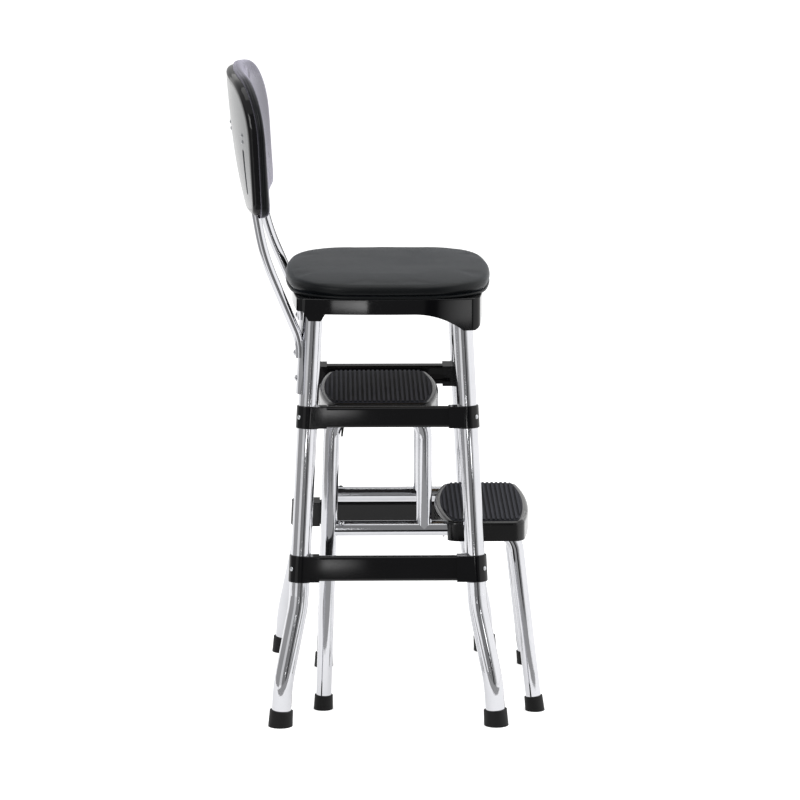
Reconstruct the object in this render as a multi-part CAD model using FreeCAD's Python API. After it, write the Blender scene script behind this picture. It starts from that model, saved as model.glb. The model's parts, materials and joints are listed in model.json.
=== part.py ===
import FreeCAD, Part
import math
import os
from FreeCAD import Vector

# Step stool chair, millimetres. +X is the way the sitter faces, +Y the sitter's left, +Z up.
# Everything is drawn about the middle of the four chair feet on the floor, and moved at the
# end so that the origin is under the middle of the whole object.

# Chair legs: round tube, drawn once for the front left corner
leg_diameter = 27.0
leg_wall = 1.5
foot_x, foot_y = 148.5, 205.0
ankle_x, ankle_y, ankle_height = 144.5, 203.5, 60.0
knee_x, knee_y, knee_height = 123.0, 182.5, 165.0
leg_top_x, leg_top_y, leg_top_height = 101.6, 145.5, 568.0
leg_bend_radius = 150.0
leg_end_spare = 22.0

# Rubber feet
foot_wall = 2.6
foot_flare = 0.8
foot_cap_height = 22.0
foot_pad = 4.0

# Side braces between the front and rear legs
brace_sleeve_wall = 2.4
brace_width = 16.0
brace_edge_radius = 4.5
brace_block_length = 26.0
brace_block_relief = 0.8
brace_bar_relief = 1.2
lower_brace_low, lower_brace_high = 197.0, 234.0
upper_brace_height, upper_brace_rise = 31.0, 1.5

# Seat: rails on the leg tops, board, moulded skirt, cushion and its welt
rail_width = 30.0
rail_end_gap = 1.0
rail_height = 12.0
rail_wall = 2.0
board_thickness = 8.0
skirt_front_reach, skirt_rear_reach = 33.4, 31.4
skirt_side_reach = 27.5
skirt_corner, skirt_end_bow = 14.0, 1350.0
skirt_wall = 3.0
skirt_arch_drop = 1.0
skirt_front_socket_drop = 24.0
skirt_rear_socket_drop = 10.5
skirt_rear_socket_reach = 16.3
skirt_arch_front = 37.0
skirt_arch_slope = 5.7
skirt_sweep_drop = 7.5
skirt_sweep_offset = 3.0
skirt_rear_lip_rise = 2.5
skirt_rear_lip, skirt_rear_ramp = 18.0, 25.3
skirt_toe_reach, skirt_toe_tip, skirt_toe_rise = 16.3, 7.2, 10.0
skirt_toe_round = 10.7, 3.6
skirt_end_arch_corner = 20.0
skirt_front_socket_reach = -1.4
socket_wall = 6.0
seat_front_overhang, seat_rear_overhang, seat_side_overhang = 10.0, 8.0, 1.0
seat_corner = 84.0
seat_end_bow, seat_side_bow = 650.0, 850.0
corner_follow = 0.6
least_seat_corner = 8.0
board_edge_inset = 6.0
seat_cushion_height = 25.0
seat_crown = 5.4
seat_flat_inset = 84.0
# the round side of the cushion: inset from the outline, height over the welt
seat_wall_line = ((2.6, 0.0), (1.2, 1.5), (0.3, 3.4), (0.0, 5.6), (0.1, 8.0), (0.7, 10.5),
                  (2.0, 12.8), (4.2, 14.7))
seat_crown_insets = (7.5, 12.0, 18.0, 26.0, 36.0, 50.0, 66.0, seat_flat_inset)
welt_diameter = 3.6
welt_inset = 3.0
soft_gap = 0.3

# Back support tubes: flat oval above, cupped round the leg below
support_thickness = 12.5
support_width = 25.0
support_wall = 1.4
saddle_thickness = 4.5
saddle_half_angle = 64.0
support_standoff = 15.776
support_low_drop = 113.0
support_bend_drop = 40.0
support_upper_back, support_upper_rise = 48.9, 75.7
support_top_back, support_top_rise = 59.4, 136.0
support_top_y = 136.0
support_low_radius = 80.0
support_high_radius = 300.0
tab_thickness = 3.0
tab_length = 36.0
saddle_overlap = 22.0
saddle_spare = 10.0
support_pocket_depth = 44.0

# Backrest: heights and places back and forth are counted from the top of the support tubes
back_low_rise, back_height = -15.0, 205.0
back_middle_reach = -11.1
back_tilt = 0.12
back_half_width = 172.0
back_side_bow, back_low_bow, back_top_bow = 1800.0, 2600.0, 620.0
back_low_corner_follow = 0.5
# rear face of the backrest: height, x at the side edge, x in the middle
back_rear_line = ((-24.0, -0.87, -10.74), (56.0, -5.1, -29.6),
                  (126.0, -8.7, -38.1), (201.0, -12.6, -44.1))
back_edge_y = 165.0
back_arc_spare = 18.0
back_top_corner = 88.0
back_low_corner = 22.0
shell_thickness = 10.0
shell_inset = 5.0
shell_edge_radius = 6.5
plate_thickness = 1.5
plate_border = 8.0
plate_pocket_spare = 5.0
pad_front_lean = 0.008
pad_side_depth = 13.0
pad_crown = 6.0
pad_edge_radius = 8.0
slot_width, slot_length = 9.0, 62.0
slot_y, slot_middle_rise = 130.0, 68.0

# Step unit frames: round tube
step_tube = 21.5
step_wall = 1.4
arch_rear_x, arch_front_x = -75.0, 51.0
arch_foot_x, arch_foot_y = -89.6, 117.0
arch_y = 110.0
arch_bend_radius = 38.0
lower_rail_rear_x, lower_rail_front_x = -70.0, 175.5
step_foot_x, step_foot_y = 205.5, 128.0
lower_bend_radius = 37.0
step_foot_wall = 2.0
step_foot_height = 20.0

# Step treads: pressed pans with ribbed rubber mats
pan_depth = 27.5
pan_sheet = 1.8
pan_edge_radius = 5.0
pan_corner = 17.0
least_pan_corner = 3.0
mat_border = 8.0
mat_base = 1.0
rib_height = 1.6
rib_width = 3.4
rib_pitch = 6.5
rib_end_gap = 1.5
upper_tread_height = 437.5
upper_tread_rear, upper_tread_front = -95.0, 73.0
upper_tread_half_width = 125.0
upper_tread_bow = 530.0
lower_tread_height = 271.5
lower_tread_rear, lower_tread_front = 68.0, 200.0
lower_tread_half_width = 130.0
lower_tread_rear_bow, lower_tread_front_bow = 505.0, 710.0

# Slide of the step unit in the grooves of the upper braces
slide_travel = 150.0
slider_rear_x, slider_front_x = -72.0, -58.0
slider_height = 8.8
slider_base_length = 30.0
slider_base_height = 18.0
slider_base_thickness = 3.0
slider_base_lap = 10.0
slider_base_lift = 3.0
slider_arm_sink = 0.5
slider_tail_length = 27.0
slider_tail_width = 3.0
slider_tail_inset = 19.0
slider_tail_top = (2.0, 6.0)
slider_tail_tip = 2.5
groove_depth = 7.0
groove_side_gap = 0.6
groove_end_gap = 2.0

# Fasteners
head_rim_share = 0.35
bolt_head, bolt_head_height, bolt_shank = 8.5, 3.2, 5.0
support_bolt_drops = (91.0, 56.5)
brace_screw_head, brace_screw_head_height, brace_screw_shank = 6.0, 1.8, 3.0
brace_screw_angle = 42.0
pan_screw_head, pan_screw_head_height, pan_screw_shank = 9.0, 3.0, 4.0
pan_screw_inset = 30.0
arch_screw_inset = 10.0
rivet_angle = 50.0
rivet_inset = 6.0
seat_screw_head, seat_screw_head_height, seat_screw_shank = 9.0, 2.6, 4.0
seat_screw_y = 62.0
seat_screw_bite = 5.6
back_screw_head, back_screw_head_height, back_screw_shank = 5.5, 1.6, 2.6
back_screw_bite = 6.0
back_screw_rises = (109.0, 118.0)
middle_screw_y = 18.0
middle_screw_rises = (114.0, 123.0)

up = Vector(0, 0, 1)
forward_way = Vector(1, 0, 0)
sideways = Vector(0, 1, 0)
far = 1000.0


def unit(vector):
    return Vector(vector).normalize()


def on_leg(height):
    share = (height - knee_height) / (leg_top_height - knee_height)
    x = knee_x + share * (leg_top_x - knee_x)
    y = knee_y + share * (leg_top_y - knee_y)
    return Vector(x, y, height)


def leg_direction():
    return unit(on_leg(leg_top_height) - on_leg(knee_height))


def facing(point, end):
    # the same point on the front leg (end 1) or the rear leg (end -1)
    return Vector(point.x * end, point.y, point.z)


def bent_path(points, radii):
    # straight runs joined by tangent arcs
    edges = []
    start = points[0]
    for corner, before_point, after_point, radius in zip(points[1:-1], points, points[2:], radii):
        before = unit(before_point - corner)
        after = unit(after_point - corner)
        turn = math.pi - before.getAngle(after)
        reach = radius * math.tan(turn / 2)
        bend_start = corner + before * reach
        bend_end = corner + after * reach
        inward = unit(before + after)
        middle = corner + inward * (radius / math.cos(turn / 2) - radius)
        edges.append(Part.makeLine(start, bend_start))
        edges.append(Part.Arc(bend_start, middle, bend_end).toShape())
        start = bend_end
    edges.append(Part.makeLine(start, points[-1]))
    return Part.Wire(edges)


def rod(points, radii, diameter):
    ring = Part.Wire(Part.makeCircle(diameter / 2, points[0], points[1] - points[0]))
    return bent_path(points, radii).makePipeShell([ring], True, False)


def slab(low, high):
    return Part.makeBox(2 * far, 2 * far, high - low, Vector(-far, -far, low))


def side_copy(shape, side):
    if side == "left":
        return shape
    return shape.mirror(Vector(0, 0, 0), Vector(0, 1, 0))


def screw(head, head_height, shank, length, point, direction):
    # domed head standing on the point, shank running on along the direction
    rise = head_height * (1 - head_rim_share)
    ball_radius = ((head / 2) ** 2 + rise ** 2) / (2 * rise)
    ball = Part.makeSphere(ball_radius, Vector(0, 0, ball_radius - head_height))
    body = Part.makeCylinder(head / 2, head_height, Vector(0, 0, -head_height)).common(ball)
    body = body.fuse(Part.makeCylinder(shank / 2, length))
    body.Placement = FreeCAD.Placement(point, FreeCAD.Rotation(up, direction))
    return body


def shank_hole(shank, length, point, direction):
    return Part.makeCylinder(shank / 2, length, point, direction)


def tangent_corner(side_centre, side_radius, end_centre, end_radius, corner_radius, way):
    # centre of the small arc that runs into a long side arc and a long end arc
    side_reach = side_radius - corner_radius
    end_reach = end_radius - corner_radius
    across = end_centre - side_centre
    along = (across.Length ** 2 + side_reach ** 2 - end_reach ** 2) / (2 * across.Length)
    off = math.sqrt(side_reach ** 2 - along ** 2)
    direction = unit(across)
    foot = side_centre + direction * along
    normal = Vector(-direction.y, direction.x, 0)
    choices = [foot + normal * off, foot - normal * off]
    centre = max(choices, key=lambda point: point.x + way * point.y)
    from_side = unit(centre - side_centre)
    from_end = unit(centre - end_centre)
    side_point = side_centre + from_side * side_radius
    end_point = end_centre + from_end * end_radius
    middle = centre + unit(from_side + from_end) * corner_radius
    return side_point, middle, end_point


def outline(half_width, low, high, side_radius, radii, corners, place):
    # closed outline of eight arcs: two sides, a low end, a high end and four corners
    low_radius, high_radius = radii
    low_corner, high_corner = corners
    side_centre = Vector(half_width - side_radius, (low + high) / 2, 0)
    low_centre = Vector(0, low + low_radius, 0)
    high_centre = Vector(0, high - high_radius, 0)
    low_points = tangent_corner(side_centre, side_radius, low_centre, low_radius, low_corner, -1)
    high_points = tangent_corner(side_centre, side_radius, high_centre, high_radius, high_corner, 1)
    side_middle = Vector(half_width, (low + high) / 2, 0)
    right = [low_points[2], low_points[1], low_points[0], side_middle,
             high_points[0], high_points[1], high_points[2]]
    left = [Vector(-point.x, point.y, 0) for point in reversed(right)]
    ring = right + [Vector(0, high, 0)] + left + [Vector(0, low, 0), right[0]]
    spots = [place(point.x, point.y) for point in ring]
    arcs = []
    for start in range(0, len(spots) - 1, 2):
        arcs.append(Part.Arc(spots[start], spots[start + 1], spots[start + 2]).toShape())
    return Part.Wire(arcs)


def prism(wire, reach):
    return Part.Face(wire).extrude(reach)


def box_between(low, high):
    size = high - low
    return Part.makeBox(size.x, size.y, size.z, low)


# Chair frame
def leg_points(end):
    corners = [Vector(foot_x, foot_y, 0), Vector(ankle_x, ankle_y, ankle_height),
               on_leg(knee_height), on_leg(leg_top_height)]
    down = unit(corners[0] - corners[1])
    corners[0] = corners[0] + down * leg_end_spare
    corners[-1] = corners[-1] + leg_direction() * leg_end_spare
    return [facing(corner, end) for corner in corners]


def leg_rod(end, diameter):
    points = leg_points(end)
    bar = rod(points, [leg_bend_radius, leg_bend_radius], diameter)
    return bar.common(slab(foot_pad, leg_top_height))


def chair_leg(end):
    tube = leg_rod(end, leg_diameter).cut(leg_rod(end, leg_diameter - 2 * leg_wall))
    for point, direction in brace_screw_spots(end):
        tube = tube.cut(shank_hole(brace_screw_shank, 2 * brace_sleeve_wall, point, direction))
    if end < 0:
        for drop in support_bolt_drops:
            point = support_bolt_point(drop)
            tube = tube.cut(shank_hole(bolt_shank, support_bolt_length(), point, forward_way))
    return tube


def rubber_foot(base, upper, tube, tube_diameter, wall, height):
    axis = unit(upper - base)
    start = base - axis * height
    radius = tube_diameter / 2 + wall
    cap = Part.makeCone(radius + 2 * foot_flare, radius, 2 * height, start, axis)
    return cap.common(slab(0, far)).cut(tube)


def chair_foot(end):
    points = [facing(Vector(foot_x, foot_y, 0), end),
              facing(Vector(ankle_x, ankle_y, ankle_height), end)]
    return rubber_foot(points[0], points[1], leg_rod(end, leg_diameter), leg_diameter,
                       foot_wall, foot_cap_height)


# Side braces
def upper_brace_levels():
    # the upper brace carries the slides, so it goes with the upper tread
    high = upper_tread_height + upper_brace_rise
    return high - upper_brace_height, high


def sleeve_radius():
    return leg_diameter / 2 + brace_sleeve_wall


def brace_bar(rear_x, front_x, width, height, edge_radius, middle_height):
    # bar with rounded edges that leans inward with the legs
    half_w = width / 2
    half_h = height / 2
    block = Part.makeBox(front_x - rear_x, width, height, Vector(rear_x, -half_w, -half_h))
    long_edges = [edge for edge in block.Edges if abs(edge.tangentAt(edge.FirstParameter).x) > 0.9]
    block = block.makeFillet(edge_radius, long_edges)
    lean = math.degrees(math.atan2(knee_y - leg_top_y, leg_top_height - knee_height))
    block.rotate(Vector(0, 0, 0), Vector(1, 0, 0), lean)
    middle = on_leg(middle_height)
    block.translate(Vector(0, middle.y, middle_height))
    return block


def brace_sleeve(end, low, high):
    start = facing(on_leg(low), end)
    stop = facing(on_leg(high), end)
    sleeve = Part.makeCylinder(sleeve_radius(), (stop - start).Length, start, stop - start)
    rims = [edge for edge in sleeve.Edges if edge.Closed]
    return sleeve.makeFillet(brace_sleeve_wall / 2, rims)


def side_brace(low, high):
    middle = (low + high) / 2
    height = high - low
    leg_x = on_leg(middle).x
    body = brace_bar(-leg_x, leg_x, brace_width, height - 2 * brace_bar_relief,
                     brace_edge_radius, middle)
    block_width = 2 * (sleeve_radius() - brace_block_relief)
    for end in (-1, 1):
        inner = end * (leg_x - brace_block_length)
        outer = end * leg_x
        block = brace_bar(min(inner, outer), max(inner, outer), block_width,
                          height - brace_bar_relief, brace_sleeve_wall / 2, middle)
        body = body.fuse(block).fuse(brace_sleeve(end, low, high))
    for end in (-1, 1):
        body = body.cut(leg_rod(end, leg_diameter))
        for point, direction in brace_screw_spots(end):
            body = body.cut(shank_hole(brace_screw_shank, 2 * brace_sleeve_wall, point, direction))
    return body


def groove():
    # slide groove in the inner face of an upper brace
    middle = slider_middle_height()
    face_y = on_leg(middle).y - brace_width / 2
    half = slider_height / 2 + groove_side_gap
    low = Vector(slider_rear_x - groove_end_gap, face_y - brace_width, middle - half)
    high = Vector(slider_front_x + slide_travel + groove_end_gap, face_y + groove_depth,
                  middle + half)
    return box_between(low, high)


def brace_screw_spots(end):
    # screw seats on the outer corner of each sleeve, one for each brace, square to the leg
    spots = []
    angle = math.radians(brace_screw_angle)
    outward = Vector(end * math.cos(angle), math.sin(angle), 0)
    axis = facing(leg_direction(), end)
    outward = unit(outward - axis * outward.dot(axis))
    for low, high in ((lower_brace_low, lower_brace_high), upper_brace_levels()):
        centre = facing(on_leg((low + high) / 2), end)
        spots.append((centre + outward * sleeve_radius(), outward * -1))
    return spots


def brace_screws():
    screws = []
    for end in (-1, 1):
        for point, direction in brace_screw_spots(end):
            screws.append(screw(brace_screw_head, brace_screw_head_height, brace_screw_shank,
                                brace_sleeve_wall + leg_wall, point, direction))
    return screws


# Seat
def seat_plan(front, rear, half_width, corner, bow, inset, height):
    def place(across, forward):
        return Vector(forward, across, height)
    corner = max(corner - corner_follow * inset, least_seat_corner)
    return outline(half_width - inset, rear + inset, front - inset, seat_side_bow,
                   (bow, bow), (corner, corner), place)


def skirt_front():
    return leg_top_x + skirt_front_reach


def skirt_rear():
    return -leg_top_x - skirt_rear_reach


def skirt_half_width():
    return leg_top_y + skirt_side_reach


def skirt_plan(inset, height):
    return seat_plan(skirt_front(), skirt_rear(), skirt_half_width(), skirt_corner,
                     skirt_end_bow, inset, height)


def rail_top():
    return leg_top_height + rail_height


def board_top():
    return rail_top() + board_thickness


def seat_rail(end):
    half_length = skirt_half_width()
    middle = end * leg_top_x
    outer = Part.makeBox(rail_width, 2 * half_length, rail_height,
                         Vector(middle - rail_width / 2, -half_length, leg_top_height))
    inner = Part.makeBox(rail_width - 2 * rail_wall, 2 * half_length, rail_height - 2 * rail_wall,
                         Vector(middle - rail_width / 2 + rail_wall, -half_length,
                                leg_top_height + rail_wall))
    room = prism(skirt_plan(skirt_wall + rail_end_gap, leg_top_height), up * rail_height)
    rail = outer.cut(inner).common(room)
    for point in seat_screw_points(end):
        rail = rail.cut(shank_hole(seat_screw_shank, rail_height, point, up))
    return rail


def seat_screw_points(end):
    return [Vector(end * leg_top_x, way * seat_screw_y, leg_top_height) for way in (-1, 1)]


def seat_screw_length():
    return rail_height + seat_screw_bite


def seat_screws():
    screws = []
    for end in (-1, 1):
        for point in seat_screw_points(end):
            screws.append(screw(seat_screw_head, seat_screw_head_height, seat_screw_shank,
                                seat_screw_length(), point, up))
    return screws


def board_space(gap):
    # the board's place in the top of the skirt, kept back under the cushion at the corners
    room = prism(skirt_plan(skirt_wall + gap, rail_top()), up * board_thickness)
    return room.common(prism(seat_section(board_edge_inset + gap, rail_top()),
                             up * board_thickness))


def seat_board():
    board = board_space(soft_gap)
    for end in (-1, 1):
        for point in seat_screw_points(end):
            board = board.cut(shank_hole(seat_screw_shank, seat_screw_length(), point, up))
    return board


def skirt_side_cutter():
    # the arch under the side of the skirt, deeper at the front sockets than at the rear ones
    low = leg_top_height - skirt_front_socket_drop
    rear_socket = leg_top_height - skirt_rear_socket_drop
    arch = leg_top_height - skirt_arch_drop
    lip = leg_top_height + skirt_rear_lip_rise
    arch_rear = skirt_rear_socket_reach - leg_top_x
    rear_out = skirt_rear() - far
    front_out = skirt_front() + far
    spots = [Vector(rear_out, 0, low - far),
             Vector(rear_out, 0, lip),
             Vector(skirt_rear() + skirt_rear_lip, 0, lip),
             Vector(skirt_rear() + skirt_rear_ramp, 0, rear_socket),
             Vector(arch_rear - skirt_arch_slope, 0, rear_socket),
             Vector(arch_rear, 0, arch),
             Vector(skirt_arch_front, 0, arch)]
    edges = [Part.makeLine(a, b) for a, b in zip(spots, spots[1:])]
    sweep_end = Vector(leg_top_x - skirt_front_socket_reach, 0, low)
    sweep_middle = Vector((skirt_arch_front + sweep_end.x) / 2 + skirt_sweep_offset, 0,
                          leg_top_height - skirt_sweep_drop)
    edges.append(Part.Arc(spots[-1], sweep_middle, sweep_end).toShape())
    toe_start = Vector(skirt_front() - skirt_toe_reach, 0, low)
    toe_end = Vector(skirt_front() - skirt_toe_tip, 0, low + skirt_toe_rise)
    toe_back, toe_up = skirt_toe_round
    toe_middle = Vector(skirt_front() - toe_back, 0, low + toe_up)
    edges.append(Part.makeLine(sweep_end, toe_start))
    edges.append(Part.Arc(toe_start, toe_middle, toe_end).toShape())
    rest = [toe_end, Vector(front_out, 0, toe_end.z), Vector(front_out, 0, low - far), spots[0]]
    edges += [Part.makeLine(a, b) for a, b in zip(rest, rest[1:])]
    face = Part.Face(Part.Wire(edges))
    face.translate(Vector(0, -far, 0))
    return face.extrude(Vector(0, 2 * far, 0))


def skirt_end_cutter():
    # the arch under the front and rear of the skirt, between the sockets
    half = leg_top_y - leg_diameter
    rise = skirt_front_socket_drop - skirt_arch_drop
    arch = leg_top_height - skirt_arch_drop
    wire = outline(half, arch - rise - far, arch, 4 * far,
                   (far, 20 * half), (skirt_end_arch_corner, 2 * rise),
                   lambda across, height: Vector(-far, across, height))
    return prism(wire, Vector(2 * far, 0, 0))


def seat_skirt():
    low = leg_top_height - skirt_front_socket_drop
    height = board_top() - low
    outer = prism(skirt_plan(0.0, low), up * height)
    rims = [edge for edge in outer.Edges if edge.BoundBox.ZMin > board_top() - 0.1]
    outer = outer.makeFillet(skirt_wall / 2, rims)
    inner = prism(skirt_plan(skirt_wall, low), up * (rail_top() - low))
    body = outer.cut(inner).cut(board_space(0.0))
    for end in (-1, 1):
        centre = facing(on_leg(leg_top_height), end)
        radius = leg_diameter / 2 + socket_wall
        boss = Part.makeCylinder(radius, leg_top_height - low, Vector(centre.x, centre.y, low))
        boss = boss.common(outer)
        body = body.fuse(boss).fuse(side_copy(boss, "right"))
    body = body.cut(skirt_side_cutter()).cut(skirt_end_cutter())
    for end in (-1, 1):
        leg = leg_rod(end, leg_diameter)
        body = body.cut(leg).cut(side_copy(leg, "right"))
    return body


def seat_section(inset, height):
    return seat_plan(skirt_front() + seat_front_overhang, skirt_rear() - seat_rear_overhang,
                     skirt_half_width() + seat_side_overhang, seat_corner, seat_end_bow,
                     inset, height)


def cushion_bottom():
    return board_top() + soft_gap


def seat_cushion():
    base = cushion_bottom()
    wall_low = base + welt_diameter + 2 * soft_gap
    top = base + seat_cushion_height
    plug_inset = welt_inset + welt_diameter / 2 + soft_gap
    plug = prism(seat_section(plug_inset, base), up * (wall_low - base))
    steps = [(inset, wall_low + rise) for inset, rise in seat_wall_line]
    for inset in seat_crown_insets:
        share = (seat_flat_inset - inset) / seat_flat_inset
        steps.append((inset, top - seat_crown * share ** 2))
    sections = [seat_section(inset, height) for inset, height in steps]
    crown = Part.makeLoft(sections, True, True)
    return plug.fuse(crown)


def seat_welt():
    height = cushion_bottom() + soft_gap + welt_diameter / 2
    path = seat_section(welt_inset, height)
    edge = path.Edges[0]
    start = edge.valueAt(edge.FirstParameter)
    direction = edge.tangentAt(edge.FirstParameter)
    ring = Part.Wire(Part.makeCircle(welt_diameter / 2, start, direction))
    return path.makePipeShell([ring], True, False)


# Back supports
def support_points():
    bend = facing(on_leg(leg_top_height - support_bend_drop), -1)
    bend.x -= support_standoff
    low = Vector(bend.x, on_leg(leg_top_height - support_low_drop).y,
                 leg_top_height - support_low_drop)
    top = Vector(bend.x - support_top_back, support_top_y, leg_top_height + support_top_rise)
    upper = Vector(bend.x - support_upper_back, 0, leg_top_height + support_upper_rise)
    upper.y = bend.y + (top.y - bend.y) * (upper.z - bend.z) / (top.z - bend.z)
    return [low, bend, upper, top]


def oval_ring(point, direction, thickness, width):
    # flat oval across a run: two straight sides and two half round ends
    normal = unit(direction)
    across = unit(sideways - normal * sideways.dot(normal))
    deep = unit(normal.cross(across))
    half = (width - thickness) / 2
    radius = thickness / 2
    edges = []
    for way in (1, -1):
        centre = point + across * (way * half)
        first = centre + deep * (way * radius)
        tip = centre + across * (way * radius)
        last = centre - deep * (way * radius)
        edges.append(Part.Arc(first, tip, last).toShape())
        edges.append(Part.makeLine(last, last - across * (2 * way * half)))
    return Part.Wire(edges)


def support_pipe(thickness, width):
    points = support_points()
    path = bent_path(points, [support_low_radius, support_high_radius])
    ring = oval_ring(points[0], points[1] - points[0], thickness, width)
    return path.makePipeShell([ring], True, False)


def support_tab():
    # flattened end inside the backrest
    points = support_points()
    direction = unit(points[3] - points[2])
    start = points[3] - direction * tab_thickness
    ring = oval_ring(start, direction, tab_thickness, support_width)
    return prism(ring, direction * (tab_length + tab_thickness))


def saddle():
    # flattened lower end cupped round the rear of the leg
    low = facing(on_leg(leg_top_height - support_low_drop), -1)
    high = facing(on_leg(leg_top_height - support_bend_drop), -1)
    axis = high - low
    radius = leg_diameter / 2 + saddle_thickness
    round_bar = Part.makeCylinder(radius, axis.Length, low, axis)
    half_width = radius * math.sin(math.radians(saddle_half_angle))
    reach = radius * math.cos(math.radians(saddle_half_angle))
    keep = Part.makeBox(far, 2 * half_width, far,
                        Vector(low.x - reach - far, (low.y + high.y) / 2 - half_width,
                               low.z - saddle_spare))
    return round_bar.common(keep).cut(leg_rod(-1, leg_diameter))


def support_bolt_point(drop):
    # on the cupped end, or higher up on the flat rear side of the tube
    rear = facing(on_leg(leg_top_height - drop), -1)
    seat_x = rear.x - leg_diameter / 2 - saddle_thickness
    if drop < support_bend_drop + saddle_overlap:
        seat_x = min(seat_x, support_points()[1].x - support_thickness / 2)
    return Vector(seat_x, rear.y, rear.z)


def support_bolt_length():
    return saddle_thickness + 3 * leg_wall


def back_support():
    outer = support_pipe(support_thickness, support_width)
    inner = support_pipe(support_thickness - 2 * support_wall, support_width - 2 * support_wall)
    low, bend, upper, top = support_points()
    bore = inner.common(slab(bend.z, top.z - tab_thickness))
    tube = outer.common(slab(bend.z - saddle_overlap, far)).cut(bore)
    body = tube.fuse(saddle()).fuse(support_tab()).cut(leg_rod(-1, leg_diameter))
    for drop in support_bolt_drops:
        point = support_bolt_point(drop)
        body = body.cut(shank_hole(bolt_shank, support_bolt_length(), point, forward_way))
        body = body.cut(shank_hole(bolt_head, bolt_head_height, point, forward_way * -1))
    return body


def support_bolts():
    return [screw(bolt_head, bolt_head_height, bolt_shank, support_bolt_length(),
                  support_bolt_point(drop), forward_way) for drop in support_bolt_drops]


# Backrest
def back_low():
    return support_points()[3].z + back_low_rise


def back_middle_x():
    return support_points()[3].x + back_middle_reach


def rear_line():
    top = support_points()[3]
    return [(top.z + height, top.x + edge_x, top.x + middle_x)
            for height, edge_x, middle_x in back_rear_line]


def back_radius(edge_x, middle_x):
    rise = edge_x - middle_x
    return (back_edge_y ** 2 + rise ** 2) / (2 * rise)


def back_plan(height, edge_x, middle_x):
    # arc through the middle and both side edges, carried on past the edges
    radius = back_radius(edge_x, middle_x)
    reach = back_half_width + back_arc_spare
    end_x = middle_x + radius - math.sqrt(radius ** 2 - reach ** 2)
    return Part.Arc(Vector(end_x, -reach, height), Vector(middle_x, 0, height),
                    Vector(end_x, reach, height)).toShape()


def back_slab(rear_lines, front_lines):
    # solid between two curved faces, each given by its plan arcs
    sections = []
    for rear_line, front_line in zip(rear_lines, front_lines):
        rear = back_plan(*rear_line)
        front = back_plan(*front_line)
        rear_ends = [vertex.Point for vertex in rear.Vertexes]
        front_ends = [vertex.Point for vertex in front.Vertexes]
        sections.append(Part.Wire([rear, Part.makeLine(rear_ends[1], front_ends[1]), front,
                                   Part.makeLine(front_ends[0], rear_ends[0])]))
    return Part.makeLoft(sections, True, False)


def back_lines(edge_offset, middle_offset):
    return [(height, edge_x + edge_offset, middle_x + middle_offset)
            for height, edge_x, middle_x in rear_line()]


def pad_front_lines():
    lines = []
    for height, edge_x, middle_x in rear_line():
        rear_edge = edge_x + shell_thickness
        depth = pad_side_depth - pad_front_lean * (height - back_low())
        lines.append((height, rear_edge + depth, middle_x + shell_thickness + depth + pad_crown))
    return lines


def back_prism(inset):
    # the outline carried square to the tilted back; its heights are those at the middle of the back
    start = back_middle_x() - far / 2

    def place(across, height):
        return Vector(start, across, height - back_tilt * far / 2)
    low = back_low() + inset
    high = back_low() + back_height - inset
    wire = outline(back_half_width - inset, low, high, back_side_bow,
                   (back_low_bow, back_top_bow),
                   (back_low_corner - back_low_corner_follow * inset, back_top_corner - inset),
                   place)
    return prism(wire, Vector(far, 0, back_tilt * far))


def slot_cutter():
    half = (slot_length - slot_width) / 2
    low = Vector(-far / 2, slot_y, back_low() + slot_middle_rise - half)
    cutter = Part.makeCylinder(slot_width / 2, far, low, forward_way)
    high = low + up * (2 * half)
    cutter = cutter.fuse(Part.makeCylinder(slot_width / 2, far, high, forward_way))
    bar = Part.makeBox(far, slot_width, 2 * half, low - Vector(0, slot_width / 2, 0))
    return cutter.fuse(bar)


def back_plate_slab():
    return back_slab(back_lines(0.0, 0.0), back_lines(plate_thickness, plate_thickness))


def back_screw_spots():
    # screw seats square to the rear face: two over each slot and two near the middle
    places = [(slot_y, rise) for rise in back_screw_rises]
    places += [(middle_screw_y, rise) for rise in middle_screw_rises]
    slab_body = back_plate_slab()
    spots = []
    for y, rise in places:
        height = back_low() + rise
        probe = Part.makeLine(Vector(-far / 2, y, height), Vector(0, y, height))
        hit = min(vertex.Point.x for vertex in slab_body.common(probe).Vertexes)
        point = Vector(hit, y, height)
        spots.append((point, inward_normal(slab_body, point)))
    return spots


def back_screw_holes():
    # started a little behind the face, so that each hole breaks through it
    spare = back_screw_head_height
    return [shank_hole(back_screw_shank, spare + back_screw_length(), point - direction * spare,
                       direction) for point, direction in back_screw_spots()]


def inward_normal(shape, point):
    face = min(shape.Faces, key=lambda face: face.distToShape(Part.Vertex(point))[0])
    normal = face.normalAt(*face.Surface.parameter(point))
    return normal if normal.x > 0 else normal * -1


def back_shell():
    body = back_slab(back_lines(0.0, 0.0), back_lines(shell_thickness, shell_thickness))
    body = body.common(back_prism(shell_inset))
    rear = [edge for edge in body.Edges if on_back_face(edge, back_lines(0.0, 0.0))]
    body = body.makeFillet(shell_edge_radius, rear)
    pocket = back_slab(back_lines(-plate_pocket_spare, -plate_pocket_spare),
                       back_lines(plate_thickness, plate_thickness))
    body = body.cut(pocket.common(back_prism(shell_inset + plate_border)))
    for side in ("left", "right"):
        body = body.cut(side_copy(support_fill(), side))
        for hole in back_screw_holes():
            body = body.cut(side_copy(hole, side))
    return body


def back_screw_length():
    return plate_thickness + back_screw_bite


def support_fill():
    # the space that a support's upper end takes
    pocket_low = support_points()[3].z - support_pocket_depth
    pipe = support_pipe(support_thickness, support_width).common(slab(pocket_low, far))
    return pipe.fuse(support_tab())


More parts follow.
